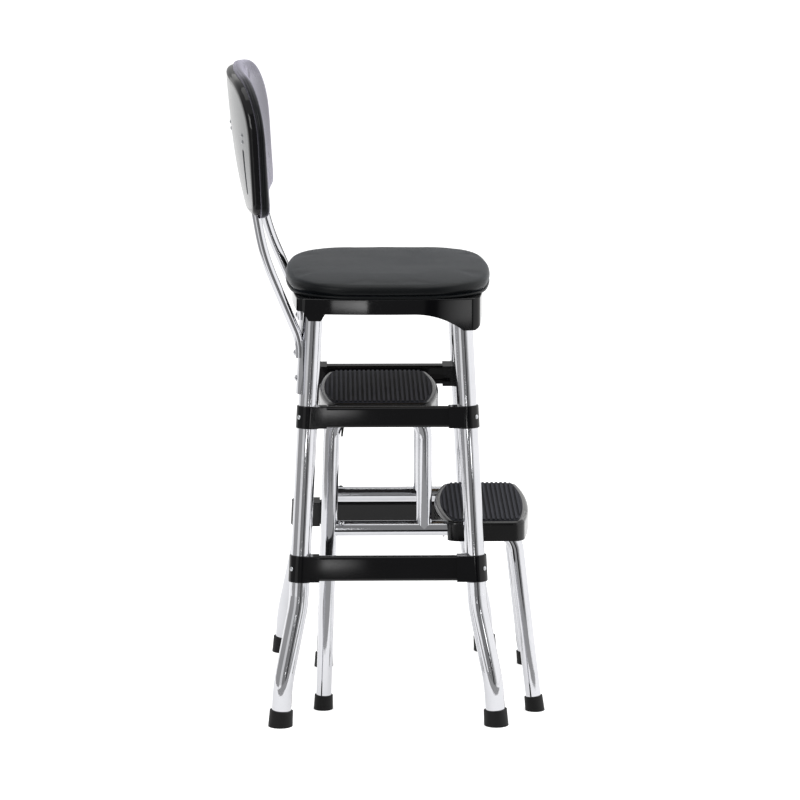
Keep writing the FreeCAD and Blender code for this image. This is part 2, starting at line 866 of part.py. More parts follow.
def back_plate():
    body = back_plate_slab().common(back_prism(shell_inset + plate_border + soft_gap))
    for side in ("left", "right"):
        body = body.cut(side_copy(slot_cutter(), side))
        for hole in back_screw_holes():
            body = body.cut(side_copy(hole, side))
    return body


def back_screws():
    return [screw(back_screw_head, back_screw_head_height, back_screw_shank,
                  back_screw_length(), point, direction) for point, direction in back_screw_spots()]


def back_cushion():
    gap = shell_thickness + soft_gap
    body = back_slab(back_lines(gap, gap), pad_front_lines())
    body = body.common(back_prism(0.0))
    front = [edge for edge in body.Edges if on_back_face(edge, pad_front_lines())]
    body = body.makeFillet(pad_edge_radius, front)
    for side in ("left", "right"):
        body = body.cut(side_copy(support_fill(), side))
    return body


def on_back_face(edge, lines):
    # true for an edge that lies along one of the curved faces of the back
    spots = [edge.valueAt(edge.FirstParameter + share * (edge.LastParameter - edge.FirstParameter))
             for share in (0.0, 0.5, 1.0)]
    face = back_slab(lines, [(height, edge_x - 0.01, middle_x - 0.01)
                             for height, edge_x, middle_x in lines])
    return all(face.distToShape(Part.Vertex(spot))[0] < 0.05 for spot in spots)


# Step unit
def upper_pan_top():
    return upper_tread_height - mat_base - rib_height


def lower_pan_top():
    return lower_tread_height - mat_base - rib_height


def arch_top_height():
    return upper_pan_top() - pan_sheet - step_tube / 2


def rail_height_under_step():
    return lower_pan_top() - pan_sheet - step_tube / 2


def arch_points():
    top = arch_top_height()
    foot = Vector(arch_foot_x, arch_foot_y, 0)
    rear = Vector(arch_rear_x, arch_y, top)
    front = Vector(arch_front_x, arch_y, top)
    post_foot = Vector(arch_front_x, arch_y, rail_height_under_step())
    down = unit(foot - rear)
    return [foot + down * step_foot_height, rear, front, post_foot]


def lower_rail_points():
    height = rail_height_under_step()
    rear = Vector(lower_rail_rear_x - step_tube / 2, arch_y, height)
    bend = Vector(lower_rail_front_x, arch_y, height)
    foot = Vector(step_foot_x, step_foot_y, 0)
    down = unit(foot - bend)
    return [rear, bend, foot + down * step_foot_height]


def step_arch_rod(diameter):
    return rod(arch_points(), [arch_bend_radius, arch_bend_radius], diameter)


def lower_rail_rod(diameter):
    return rod(lower_rail_points(), [lower_bend_radius], diameter)


def step_arch():
    bore = step_tube - 2 * step_wall
    tube = step_arch_rod(step_tube).common(slab(foot_pad, far)).cut(step_arch_rod(bore))
    tube = tube.cut(lower_rail_rod(step_tube).common(joint_space(arch_front_x)))
    for point in upper_screw_points():
        tube = tube.cut(shank_hole(pan_screw_shank, pan_screw_length(), point, up))
    return tube


def joint_space(x):
    # the room round a joint of two tubes at the height of the lower rail
    half = Vector(2 * step_tube, 2 * step_tube, 2 * step_tube)
    middle = Vector(x, arch_y, rail_height_under_step())
    return box_between(middle - half, middle + half)


def step_lower_rail():
    bore = step_tube - 2 * step_wall
    tube = lower_rail_rod(step_tube).common(slab(foot_pad, far)).cut(lower_rail_rod(bore))
    tube = tube.cut(step_arch_rod(step_tube).common(joint_space(lower_rail_rear_x - step_tube)))
    for point in lower_screw_points():
        tube = tube.cut(shank_hole(pan_screw_shank, pan_screw_length(), point, up))
    point, direction = rivet_spot()
    return tube.cut(shank_hole(pan_screw_shank, 2 * step_wall, point, direction))


def step_foot(base, upper, tube):
    return rubber_foot(base, upper, tube, step_tube, step_foot_wall, step_foot_height)


def rear_step_foot():
    points = arch_points()
    base = Vector(arch_foot_x, arch_foot_y, 0)
    tube = step_arch_rod(step_tube).common(slab(foot_pad, far))
    return step_foot(base, points[1], tube)


def front_step_foot():
    points = lower_rail_points()
    base = Vector(step_foot_x, step_foot_y, 0)
    tube = lower_rail_rod(step_tube).common(slab(foot_pad, far))
    return step_foot(base, points[1], tube)


def tread_plan(half_width, rear, front, bows, inset, height):
    def place(across, forward):
        return Vector(forward, across, height)
    corner = max(pan_corner - corner_follow * inset, least_pan_corner)
    return outline(half_width - inset, rear + inset, front - inset, 4 * far, bows,
                   (corner, corner), place)


def upper_tread_plan(inset, height):
    return tread_plan(upper_tread_half_width, upper_tread_rear, upper_tread_front,
                      (upper_tread_bow, upper_tread_bow), inset, height)


def lower_tread_plan(inset, height):
    return tread_plan(lower_tread_half_width, lower_tread_rear, lower_tread_front,
                      (lower_tread_rear_bow, lower_tread_front_bow), inset, height)


def rounded_top(plan, inset, low, high, radius):
    block = prism(plan(inset, low), up * (high - low))
    rims = [edge for edge in block.Edges if edge.BoundBox.ZMin > high - 0.1]
    return block.makeFillet(radius, rims)


def tread_pan(plan, top, screw_points):
    low = top - pan_depth
    outer = rounded_top(plan, 0.0, low, top, pan_edge_radius)
    inner = rounded_top(plan, pan_sheet, low - 1.0, top - pan_sheet, pan_edge_radius - pan_sheet)
    pan = outer.cut(inner)
    for point in screw_points:
        hole = shank_hole(pan_screw_shank, pan_screw_length(), point, up)
        pan = pan.cut(hole).cut(side_copy(hole, "right"))
    return pan


def upper_pan():
    return tread_pan(upper_tread_plan, upper_pan_top(), upper_screw_points())


def lower_pan():
    pan = tread_pan(lower_tread_plan, lower_pan_top(), lower_screw_points())
    rail = lower_rail_rod(step_tube)
    notch = Part.makeBox(3 * pan_sheet + pan_corner * 2, step_tube, pan_depth,
                         Vector(lower_tread_rear - pan_sheet, arch_y - step_tube / 2,
                                lower_pan_top() - pan_sheet - pan_depth - step_tube / 2))
    for side in ("left", "right"):
        pan = pan.cut(side_copy(rail, side)).cut(side_copy(notch, side))
    return pan


def tread_mat(plan, rear, front, half_width, pan_top):
    base = prism(plan(mat_border, pan_top), up * mat_base)
    ribs = []
    count = int((front - rear - 2 * mat_border) // rib_pitch)
    first = (rear + front) / 2 - (count - 1) * rib_pitch / 2
    for index in range(count):
        x = first + index * rib_pitch - rib_width / 2
        ribs.append(Part.makeBox(rib_width, 2 * half_width, rib_height,
                                 Vector(x, -half_width, pan_top + mat_base)))
    field = prism(plan(mat_border + rib_end_gap, pan_top + mat_base), up * rib_height)
    ribs = [rib.common(field) for rib in ribs]
    return base.fuse(ribs)


def upper_mat():
    return tread_mat(upper_tread_plan, upper_tread_rear, upper_tread_front,
                     upper_tread_half_width, upper_pan_top())


def lower_mat():
    return tread_mat(lower_tread_plan, lower_tread_rear, lower_tread_front,
                     lower_tread_half_width, lower_pan_top())


def upper_screw_points():
    low = arch_top_height() - step_tube / 2
    inset = arch_bend_radius + arch_screw_inset
    return [Vector(x, arch_y, low) for x in (arch_rear_x + inset, arch_front_x - inset)]


def lower_screw_points():
    low = rail_height_under_step() - step_tube / 2
    return [Vector(x, arch_y, low) for x in (lower_tread_rear + pan_screw_inset,
                                             lower_rail_front_x - lower_bend_radius)]


def pan_screw_length():
    return step_tube + pan_sheet


def rivet_spot():
    # rivet at the rear end of the lower rail, on its upper outer side
    slope = math.radians(rivet_angle)
    outward = Vector(0, math.cos(slope), math.sin(slope))
    centre = Vector(lower_rail_rear_x + rivet_inset, arch_y, rail_height_under_step())
    return centre + outward * (step_tube / 2), outward * -1


def step_fasteners():
    fasteners = [screw(pan_screw_head, pan_screw_head_height, pan_screw_shank,
                       pan_screw_length(), point, up)
                 for point in upper_screw_points() + lower_screw_points()]
    point, direction = rivet_spot()
    fasteners.append(screw(bolt_head, bolt_head_height, pan_screw_shank, step_wall, point,
                           direction))
    return fasteners


def slider_middle_height():
    return upper_pan_top() - pan_depth + slider_base_height / 2 + slider_base_lift


def slider():
    # nylon arm on the side of the upper tread, its tongue in the brace's groove
    middle = slider_middle_height()
    face = upper_tread_half_width
    tip = on_leg(middle).y - brace_width / 2 + groove_depth - groove_side_gap
    half = slider_height / 2
    base_rear = slider_front_x - slider_base_lap
    base = box_between(Vector(base_rear, face, middle - slider_base_height / 2),
                       Vector(base_rear + slider_base_length, face + slider_base_thickness,
                              middle + slider_base_height / 2))
    arm = box_between(Vector(slider_rear_x, face + slider_arm_sink, middle - half),
                      Vector(slider_front_x, tip, middle + half))
    tail_y = tip - slider_tail_inset
    tail_x = slider_front_x - 2 * slider_tail_width
    low = middle - slider_tail_length
    top_rear, top_front = slider_tail_top
    corners = [Vector(tail_x + top_rear, tail_y, middle), Vector(tail_x + top_front, tail_y, middle),
               Vector(tail_x + slider_tail_tip, tail_y, low), Vector(tail_x, tail_y, low)]
    wire = Part.makePolygon(corners + corners[:1])
    tail = prism(wire, Vector(0, slider_tail_width, 0))
    return base.fuse(arm).fuse(tail)


# All the pieces
def pair(shape):
    return {"left": shape, "right": side_copy(shape, "right")}


def add_pair(pieces, name, shape):
    for side, copy in pair(shape).items():
        pieces[name + "_" + side] = copy


def both_sides(shapes):
    return Part.makeCompound(shapes + [side_copy(shape, "right") for shape in shapes])


def make_pieces():
    pieces = {}
    for name, end in (("front", 1), ("rear", -1)):
        add_pair(pieces, name + "_leg", chair_leg(end))
        add_pair(pieces, name + "_foot", chair_foot(end))
        pieces["seat_rail_" + name] = seat_rail(end)
    add_pair(pieces, "lower_brace", side_brace(lower_brace_low, lower_brace_high))
    upper = side_brace(*upper_brace_levels()).cut(groove())
    add_pair(pieces, "upper_brace", upper)
    pieces["brace_screws"] = both_sides(brace_screws())
    pieces["seat_skirt"] = seat_skirt()
    pieces["seat_board"] = seat_board()
    pieces["seat_screws"] = Part.makeCompound(seat_screws())
    pieces["seat_cushion"] = seat_cushion()
    pieces["seat_welt"] = seat_welt()
    add_pair(pieces, "back_support", back_support())
    pieces["support_bolts"] = both_sides(support_bolts())
    pieces["back_shell"] = back_shell()
    pieces["back_plate"] = back_plate()
    pieces["back_cushion"] = back_cushion()
    pieces["back_screws"] = both_sides(back_screws())
    add_pair(pieces, "step_arch", step_arch())
    add_pair(pieces, "step_lower_rail", step_lower_rail())
    add_pair(pieces, "step_rear_foot", rear_step_foot())
    add_pair(pieces, "step_front_foot", front_step_foot())
    pieces["upper_step_pan"] = upper_pan()
    pieces["lower_step_pan"] = lower_pan()
    pieces["upper_step_mat"] = upper_mat()
    pieces["lower_step_mat"] = lower_mat()
    pieces["step_fasteners"] = both_sides(step_fasteners())
    add_pair(pieces, "step_slider", slider())
    return pieces


def middle_of(shapes):
    boxes = [shape.optimalBoundingBox(False) for shape in shapes]
    return (min(box.XMin for box in boxes) + max(box.XMax for box in boxes)) / 2


pieces = make_pieces()
shift = Vector(-middle_of([pieces["back_shell"], pieces["step_front_foot_left"]]), 0, 0)
print("moved forward by", round(shift.x, 3))
os.makedirs("parts", exist_ok=True)
for name, shape in pieces.items():
    shape.translate(shift)
    if not shape.isValid():
        print("not valid:", name)
    shape.exportStep("parts/" + name + ".step")
print(len(pieces), "pieces")
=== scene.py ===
import json
import math

import bpy
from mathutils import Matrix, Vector


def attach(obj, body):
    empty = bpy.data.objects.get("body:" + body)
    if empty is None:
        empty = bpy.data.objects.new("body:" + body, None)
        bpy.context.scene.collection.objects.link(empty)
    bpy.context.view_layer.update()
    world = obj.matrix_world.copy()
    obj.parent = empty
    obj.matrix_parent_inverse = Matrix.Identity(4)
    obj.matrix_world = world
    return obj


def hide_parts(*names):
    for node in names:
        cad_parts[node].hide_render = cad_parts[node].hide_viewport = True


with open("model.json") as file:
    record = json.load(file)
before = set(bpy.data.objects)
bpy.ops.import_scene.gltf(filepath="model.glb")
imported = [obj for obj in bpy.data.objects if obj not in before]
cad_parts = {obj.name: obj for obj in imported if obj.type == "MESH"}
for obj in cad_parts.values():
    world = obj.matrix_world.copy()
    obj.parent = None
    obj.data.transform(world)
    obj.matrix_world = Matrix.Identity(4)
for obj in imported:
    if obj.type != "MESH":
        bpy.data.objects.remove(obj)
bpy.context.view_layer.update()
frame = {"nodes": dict(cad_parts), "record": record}        # nodes and the imported record
nodes = frame["nodes"]
print("frame loaded:", len(nodes), "nodes")


# Helpers for colours and nodes

def linearColour(hexText):
    channels = [int(hexText[i:i + 2], 16) / 255 for i in (1, 3, 5)]
    return tuple(c / 12.92 if c <= 0.04045 else ((c + 0.055) / 1.055) ** 2.4
                 for c in channels) + (1.0,)


def addNode(tree, kind, inputs, **settings):
    node = tree.nodes.new(kind)
    for name, value in settings.items():
        setattr(node, name, value)
    for name, value in inputs.items():
        if isinstance(value, bpy.types.NodeSocket):
            tree.links.new(value, node.inputs[name])
        else:
            node.inputs[name].default_value = value
    return node


def perMetre(millimetres):
    # noise scale for features of a real size, on Object coordinates in metres
    return 1000.0 / millimetres


def addNoise(tree, place, size, detail, **more):
    # a cloudy 0 to 1 pattern whose features are about so many millimetres long
    return addNode(tree, "ShaderNodeTexNoise", {
        "Vector": place, "Scale": perMetre(size), "Detail": detail, **more}).outputs["Fac"]


def addBump(tree, height, strength, depth):
    return addNode(tree, "ShaderNodeBump", {
        "Height": height, "Strength": strength, "Distance": depth}).outputs["Normal"]


def startMaterial(name):
    material = bpy.data.materials.new(name)
    material.use_nodes = True
    tree = material.node_tree
    tree.nodes.clear()
    place = addNode(tree, "ShaderNodeTexCoord", {}).outputs["Object"]
    return material, tree, place


def endMaterial(tree, shader):
    addNode(tree, "ShaderNodeOutputMaterial", {"Surface": shader.outputs[0]})


def ramp(tree, value, low, high):
    # spreads a 0 to 1 pattern between two numbers
    return addNode(tree, "ShaderNodeMapRange", {
        "Value": value, "To Min": low, "To Max": high}).outputs["Result"]


# The Mix node keeps its colour sockets behind those for numbers and vectors
mixSockets = {"first": 6, "second": 7, "result": 2}


def mixColours(tree, amount, first, second):
    # each colour is a hex text, or the socket of a node that gives one
    colours = {mixSockets["first"]: first, mixSockets["second"]: second}
    inputs = {socket: linearColour(colour) if isinstance(colour, str) else colour
              for socket, colour in colours.items()}
    node = addNode(tree, "ShaderNodeMix", {"Factor": amount, **inputs}, data_type="RGBA")
    return node.outputs[mixSockets["result"]]


# Chrome plate on steel tube: a mirror with a faint grey cast, slightly wavy and not polished
# evenly. Sizes are in millimetres, waveDepth in metres

chromePlate = {"bright": "#c6c6c9", "dull": "#b7b8bc", "cloudSize": 34.0, "polishSize": 1.6,
               "smoothest": 0.045, "roughest": 0.09, "waviness": 0.02, "waveSize": 16.0,
               "waveDepth": 0.002}


def makeChromePlate():
    want = chromePlate
    material, tree, place = startMaterial("chromePlate")
    clouds = addNoise(tree, place, want["cloudSize"], 3.0)
    polish = addNoise(tree, place, want["polishSize"], 2.0)
    waves = addNoise(tree, place, want["waveSize"], 1.0)
    shader = addNode(tree, "ShaderNodeBsdfPrincipled", {
        "Base Color": mixColours(tree, clouds, want["bright"], want["dull"]),
        "Metallic": 1.0,
        "Roughness": ramp(tree, polish, want["smoothest"], want["roughest"]),
        "Normal": addBump(tree, waves, want["waviness"], want["waveDepth"])})
    endMaterial(tree, shader)
    return material


# Metals with an uneven face: zinc plate on the screws, duller and rougher than the chrome, and
# the plain mild steel of the seat rails

zincPlate = {"light": "#c4c6c8", "dark": "#8c8e92", "grain": 0.5, "smoothest": 0.22,
             "roughest": 0.4, "relief": 0.08, "reliefDepth": 0.0004}
milledSteel = {"light": "#8f9092", "dark": "#6a6b6d", "grain": 2.5, "smoothest": 0.35,
               "roughest": 0.55, "relief": 0.08, "reliefDepth": 0.0004}


def makeMetal(name, want):
    material, tree, place = startMaterial(name)
    grain = addNoise(tree, place, want["grain"], 3.0)
    shader = addNode(tree, "ShaderNodeBsdfPrincipled", {
        "Base Color": mixColours(tree, grain, want["light"], want["dark"]),
        "Metallic": 1.0,
        "Roughness": ramp(tree, grain, want["smoothest"], want["roughest"]),
        "Normal": addBump(tree, grain, want["relief"], want["reliefDepth"])})
    endMaterial(tree, shader)
    return material


# Moulded, painted and rubber parts: a dark body, a fine skin and a soft or sharp gloss.
# patch and skinSize, the texture of the tool or the paint, are in millimetres, skinDepth in metres

mouldedAbs = {"base": "#060607", "second": "#0b0b0d", "patch": 45.0, "skinSize": 1.1,
              "skinDepth": 0.00001, "skin": 0.04, "smoothest": 0.05, "roughest": 0.08,
              "shine": 0.22}
bakedEnamel = {"base": "#050506", "second": "#09090a", "patch": 60.0, "skinSize": 3.0,
               "skinDepth": 0.00003, "skin": 0.18, "smoothest": 0.14, "roughest": 0.22,
               "shine": 0.35}
greyEnamel = {"base": "#57595b", "second": "#505254", "patch": 60.0, "skinSize": 3.0,
              "skinDepth": 0.00003, "skin": 0.2, "smoothest": 0.2, "roughest": 0.28,
              "shine": 0.5, "coat": 0.2}
slideNylon = {"base": "#0c0c0d", "second": "#141415", "patch": 20.0, "skinSize": 0.8,
              "skinDepth": 0.00003, "skin": 0.3, "smoothest": 0.42, "roughest": 0.52,
              "shine": 0.3}
footRubber = {"base": "#050505", "second": "#0a0a0b", "patch": 14.0, "skinSize": 0.6,
              "skinDepth": 0.00005, "skin": 0.5, "smoothest": 0.5, "roughest": 0.62,
              "shine": 0.2}
# grooveShade: how open a spot is where the painted shade of the groove ends and where the rib's top
# begins; the groove colour is that painted shade
ribbedRubber = {"base": "#2d2e34", "second": "#37383f", "patch": 18.0, "skinSize": 0.7,
                "skinDepth": 0.00006, "skin": 0.5, "smoothest": 0.64, "roughest": 0.76,
                "shine": 0.12, "groove": "#010101", "grooveReach": 0.003,
                "grooveShade": (0.55, 0.95)}
coatRoughness = 0.12


def paintGrooveShade(tree, colour, want):
    # painted shade: ambient occlusion darkens the floor of each groove, where less light reaches, and the
    # tops of the ribs keep the rubber's own colour
    openness = addNode(tree, "ShaderNodeAmbientOcclusion", {
        "Distance": want["grooveReach"]}, samples=8, only_local=True).outputs["AO"]
    dark, unshadedFrom = want["grooveShade"]
    unshadedShare = addNode(tree, "ShaderNodeMapRange", {
        "Value": openness, "From Min": dark, "From Max": unshadedFrom}).outputs["Result"]
    return mixColours(tree, unshadedShare, want["groove"], colour)


def makeSkinned(name, want):
    material, tree, place = startMaterial(name)
    patches = addNoise(tree, place, want["patch"], 4.0)
    skin = addNoise(tree, place, want["skinSize"], 2.0)
    colour = mixColours(tree, patches, want["base"], want["second"])
    # painted shade: the floors of the grooves are darkened where the occlusion finds them closed in
    if "groove" in want:
        colour = paintGrooveShade(tree, colour, want)
    shader = addNode(tree, "ShaderNodeBsdfPrincipled", {
        "Base Color": colour,
        "Roughness": ramp(tree, patches, want["smoothest"], want["roughest"]),
        "Normal": addBump(tree, skin, want["skin"], want["skinDepth"]),
        "Specular IOR Level": want["shine"],
        "Coat Weight": want.get("coat", 0.0), "Coat Roughness": coatRoughness})
    endMaterial(tree, shader)
    return material


# Upholstery vinyl: embossed with a fine leather grain, satin, with a soft bloom at the edges.
# crease is how far a crease reaches into its pebble, as a share of the pebble

blackVinyl = {"base": "#07090a", "second": "#0b0d0f", "patch": 70.0, "grainSize": 1.5,
              "grainDepth": 0.00012, "grain": 0.3, "crease": 0.18, "smoothest": 0.34,
              "roughest": 0.44, "shine": 0.12, "bloom": 0.09, "bloomSpread": 0.35,
              "bloomColour": "#a9bacb"}
# The back's cover is drawn tighter: its grain is flatter, and it pales more at a low angle
stretchedVinyl = {**blackVinyl, "grain": 0.2, "smoothest": 0.24, "roughest": 0.32,
                  "bloom": 1.0, "bloomColour": "#dedbee"}


def makeVinyl(name, want):
    material, tree, place = startMaterial(name)
    patches = addNoise(tree, place, want["patch"], 3.0)
    # each pebble of the grain is one cell, its creases lie between the cells
    pebbles = addNode(tree, "ShaderNodeTexVoronoi", {
        "Vector": place, "Scale": perMetre(want["grainSize"])},
        feature="DISTANCE_TO_EDGE").outputs["Distance"]
    creases = addNode(tree, "ShaderNodeMapRange", {
        "Value": pebbles, "From Max": want["crease"]}).outputs["Result"]
    shader = addNode(tree, "ShaderNodeBsdfPrincipled", {
        "Base Color": mixColours(tree, patches, want["base"], want["second"]),
        "Roughness": ramp(tree, patches, want["smoothest"], want["roughest"]),
        "Normal": addBump(tree, creases, want["grain"], want["grainDepth"]),
        "Specular IOR Level": want["shine"],
        "Sheen Weight": want["bloom"], "Sheen Roughness": want["bloomSpread"],
        "Sheen Tint": linearColour(want["bloomColour"])})
    endMaterial(tree, shader)
    return material


# Birch plywood of the seat board, bare, painted darker and greyer than fresh birch to stand for the shade
# under the seat: long grain across the seat

birchPly = {"light": "#8a7a66", "dark": "#6b5c49", "grainWidth": 2.2, "stretch": 14.0,
            "twist": 0.6, "relief": 0.2, "reliefDepth": 0.0002, "roughness": 0.6}


def makePlywood():
    want = birchPly
    material, tree, place = startMaterial("birchPly")
    along = addNode(tree, "ShaderNodeMapping", {
        "Vector": place, "Scale": (1.0, 1.0 / want["stretch"], 1.0)}).outputs["Vector"]
    grain = addNoise(tree, along, want["grainWidth"], 5.0, Distortion=want["twist"])
    shader = addNode(tree, "ShaderNodeBsdfPrincipled", {
        "Base Color": mixColours(tree, grain, want["light"], want["dark"]),
        "Roughness": want["roughness"],
        "Normal": addBump(tree, grain, want["relief"], want["reliefDepth"])})
    endMaterial(tree, shader)
    return material


# What each material slot of the record looks like
finishes = {
    "chrome_tube": makeChromePlate(),
    "screw_steel": makeMetal("zincPlate", zincPlate),
    "plain_steel": makeMetal("milledSteel", milledSteel),
    "black_moulding": makeSkinned("mouldedAbs", mouldedAbs),
    "black_enamel": makeSkinned("bakedEnamel", bakedEnamel),
    "grey_enamel": makeSkinned("greyEnamel", greyEnamel),
    "nylon": makeSkinned("slideNylon", slideNylon),
    "ribbed_rubber": makeSkinned("ribbedRubber", ribbedRubber),
    "grey_rubber": makeSkinned("footRubber", footRubber),
    "black_vinyl": makeVinyl("blackVinyl", blackVinyl),
    "plywood": makePlywood(),
}
for part in frame["record"]["subparts"]:
    for slot in nodes[part["node"]].material_slots:
        slot.material = finishes[part["material_slot"]]
print("materials made:", len(finishes))


# Outlines of the padded pieces, in millimetres: eight arcs that meet tangentially. A shape gives
# its half width, its two ends, the radii of its bowed sides, ends and corners, how many steps
# each arc has, and by what share of an inset its corners tighten

def cornerCentre(sideCentre, sideRadius, endCentre, endRadius, cornerRadius, way):
    # the centre of the small arc that touches the side arc and the end arc from inside
    sideReach = sideRadius - cornerRadius
    endReach = endRadius - cornerRadius
    across = endCentre - sideCentre
    along = (across.length ** 2 + sideReach ** 2 - endReach ** 2) / (2 * across.length)
    off = math.sqrt(sideReach ** 2 - along ** 2)
    direction = across.normalized()
    foot = sideCentre + direction * along
    normal = Vector((-direction.y, direction.x))
    return max((foot + normal * off, foot - normal * off), key=lambda p: p.x + way * p.y)


def touchPoint(centre, spot, radius):
    # where a large arc round centre passes into the corner arc round spot
    return centre + (spot - centre).normalized() * radius


def arcPoints(centre, radius, start, end, count):
    first = math.atan2(start.y - centre.y, start.x - centre.x)
    turn = (math.atan2(end.y - centre.y, end.x - centre.x) - first + math.pi) % (2 * math.pi)
    turn -= math.pi
    return [centre + Vector((math.cos(first + turn * i / count),
                             math.sin(first + turn * i / count))) * radius
            for i in range(count)]


def outlinePoints(shape, inset):
    # counter-clockwise from the middle of the low end, low and high along the second axis
    half = shape["halfWidth"] - inset
    low, high = shape["low"] + inset, shape["high"] - inset
    sideCentre = Vector((half - shape["sideBow"], (low + high) / 2))
    lowCentre = Vector((0, low + shape["lowBow"]))
    highCentre = Vector((0, high - shape["highBow"]))
    lowRadius = max(shape["lowCorner"] - shape["follow"] * inset, shape["leastCorner"])
    highRadius = max(shape["highCorner"] - shape["follow"] * inset, shape["leastCorner"])
    lowSpot = cornerCentre(sideCentre, shape["sideBow"], lowCentre, shape["lowBow"],
                           lowRadius, -1)
    highSpot = cornerCentre(sideCentre, shape["sideBow"], highCentre, shape["highBow"],
                            highRadius, 1)
    lowIn = touchPoint(lowCentre, lowSpot, shape["lowBow"])
    lowOut = touchPoint(sideCentre, lowSpot, shape["sideBow"])
    highOut = touchPoint(sideCentre, highSpot, shape["sideBow"])
    highIn = touchPoint(highCentre, highSpot, shape["highBow"])
    right = arcPoints(lowCentre, shape["lowBow"], Vector((0, low)), lowIn, shape["endSteps"])
    right += arcPoints(lowSpot, lowRadius, lowIn, lowOut, shape["cornerSteps"])
    right += arcPoints(sideCentre, shape["sideBow"], lowOut, highOut, shape["sideSteps"])
    right += arcPoints(highSpot, highRadius, highOut, highIn, shape["cornerSteps"])
    right += arcPoints(highCentre, shape["highBow"], highIn, Vector((0, high)),
                       shape["endSteps"])
    left = [Vector((-p.x, p.y)) for p in reversed(right[1:])]
    return right + [Vector((0, high))] + left


def addToScene(name, data):
    holder = bpy.data.objects.new(name, data)
    bpy.context.scene.collection.objects.link(holder)
    return holder


def startPiece(name):
    # names the object that the last operator added, and leaves it selected alone
    piece = bpy.context.view_layer.objects.active
    bpy.ops.object.select_all(action="DESELECT")
    piece.name = name
    piece.data.name = name
    piece.select_set(True)
    return piece


def ringLoft(name, shape, rings):
    # a tube of stacked rings, each an inset of the outline at its own depth, in millimetres
    count = len(outlinePoints(shape, rings[0][0]))
    bpy.ops.mesh.primitive_circle_add(vertices=count, fill_type="NOTHING")
    piece = startPiece(name)
    bpy.ops.object.mode_set(mode="EDIT")
    bpy.ops.mesh.select_all(action="SELECT")
    for _ in rings[1:]:
        bpy.ops.mesh.extrude_region_move(TRANSFORM_OT_translate={"value": (0, 0, 1)})
    bpy.ops.object.mode_set(mode="OBJECT")
    # the circles' own size and place fall away: each vertex goes to its spot on the outline
    spots = []
    for inset, depth in rings:
        spots += [(p.x / 1000, p.y / 1000, depth / 1000) for p in outlinePoints(shape, inset)]
    for vertex, spot in zip(piece.data.vertices, spots):
        vertex.co = spot
    return piece, count


def closeRing(piece, first, count):
    # fills an end ring with an even grid of quads
    bpy.ops.object.mode_set(mode="EDIT")
    bpy.ops.mesh.select_mode(type="VERT")
    bpy.ops.mesh.select_all(action="DESELECT")
    bpy.ops.object.mode_set(mode="OBJECT")
    for vertex in piece.data.vertices[first:first + count]:
        vertex.select = True
    bpy.ops.object.mode_set(mode="EDIT")
    bpy.ops.mesh.select_mode(type="EDGE")
    bpy.ops.mesh.fill_grid(span=count // 4)
    bpy.ops.object.mode_set(mode="OBJECT")


weldDistance = 0.00005       # points closer than this many metres become one


def finishMesh(piece, levels):
    bpy.ops.object.mode_set(mode="EDIT")
    bpy.ops.mesh.select_all(action="SELECT")
    bpy.ops.mesh.remove_doubles(threshold=weldDistance)
    bpy.ops.mesh.normals_make_consistent(inside=False)
    bpy.ops.object.mode_set(mode="OBJECT")
    if levels:
        smooth = piece.modifiers.new("smooth", "SUBSURF")
        smooth.levels = smooth.render_levels = levels
        bpy.ops.object.modifier_apply(modifier=smooth.name)
    bpy.ops.object.shade_smooth()


# The cover of both pads: how finely and for how many frames it is simulated, the kilograms on
# each vertex, and how stiff it is
coverCloth = {"quality": 5, "mass": 0.3, "frames": 20, "stiffness": 40.0, "bending": 6.0}


def puff(piece, isHeld, pressure, cap):
    # air pressure swells the cover between the points that are held, by cap metres at most
    rest = [vertex.co.copy() for vertex in piece.data.vertices]
    held = piece.vertex_groups.new(name="held")
    for vertex in piece.data.vertices:
        if isHeld(vertex.co):
            held.add([vertex.index], 1.0, "REPLACE")
    cloth = piece.modifiers.new("cloth", "CLOTH")
    settings = cloth.settings
    settings.quality = coverCloth["quality"]
    settings.mass = coverCloth["mass"]
    settings.tension_stiffness = settings.compression_stiffness = coverCloth["stiffness"]
    settings.shear_stiffness = coverCloth["stiffness"] / 2
    settings.bending_stiffness = coverCloth["bending"]
    settings.use_pressure = True
    settings.uniform_pressure_force = pressure
    settings.vertex_group_mass = held.name
    settings.effector_weights.gravity = 0.0
    scene = bpy.context.scene
    cloth.point_cache.frame_start = 1
    cloth.point_cache.frame_end = coverCloth["frames"]
    for step in range(1, coverCloth["frames"] + 1):
        scene.frame_set(step)
    bpy.ops.object.modifier_apply(modifier=cloth.name)
    scene.frame_set(1)
    most = 0.0
    for vertex, start in zip(piece.data.vertices, rest):
        move = vertex.co - start
        most = max(most, move.length)
        if move.length > cap:
            vertex.co = start + move.normalized() * cap
    print(piece.name, "pushed by up to", round(most * 1000, 2), "mm, held to", cap * 1000, "mm")


# Seat cushion: foam under a drawn vinyl cover, crowned, tucked in at the welt. It starts lower
# than its top by shrink, because the air lifts it

seatPad = {"halfWidth": 174.0, "low": -140.11, "high": 145.89, "sideBow": 850.0,
           "lowBow": 650.0, "highBow": 650.0, "lowCorner": 84.0, "highCorner": 84.0,
           "follow": 0.6, "leastCorner": 8.0, "endSteps": 9, "cornerSteps": 14,
           "sideSteps": 18, "bottom": 588.4, "top": 613.3, "crown": 5.4,
           # inset from the outline and height over the bottom
           "wall": ((14.0, 0.0), (5.4, 0.2), (5.2, 4.0), (3.0, 5.0), (1.6, 6.4), (0.7, 8.3),
                    (0.4, 10.6), (0.6, 13.0), (1.3, 15.2), (2.7, 17.0), (4.8, 18.4)),
           "crownInsets": (7.5, 11.0, 16.0, 23.0, 32.0, 43.0, 56.0, 70.0),
           "flatInset": 84.0, "shrink": 0.8, "heldHeight": 5.0, "pressure": 1.6,
           "cap": 0.0006}


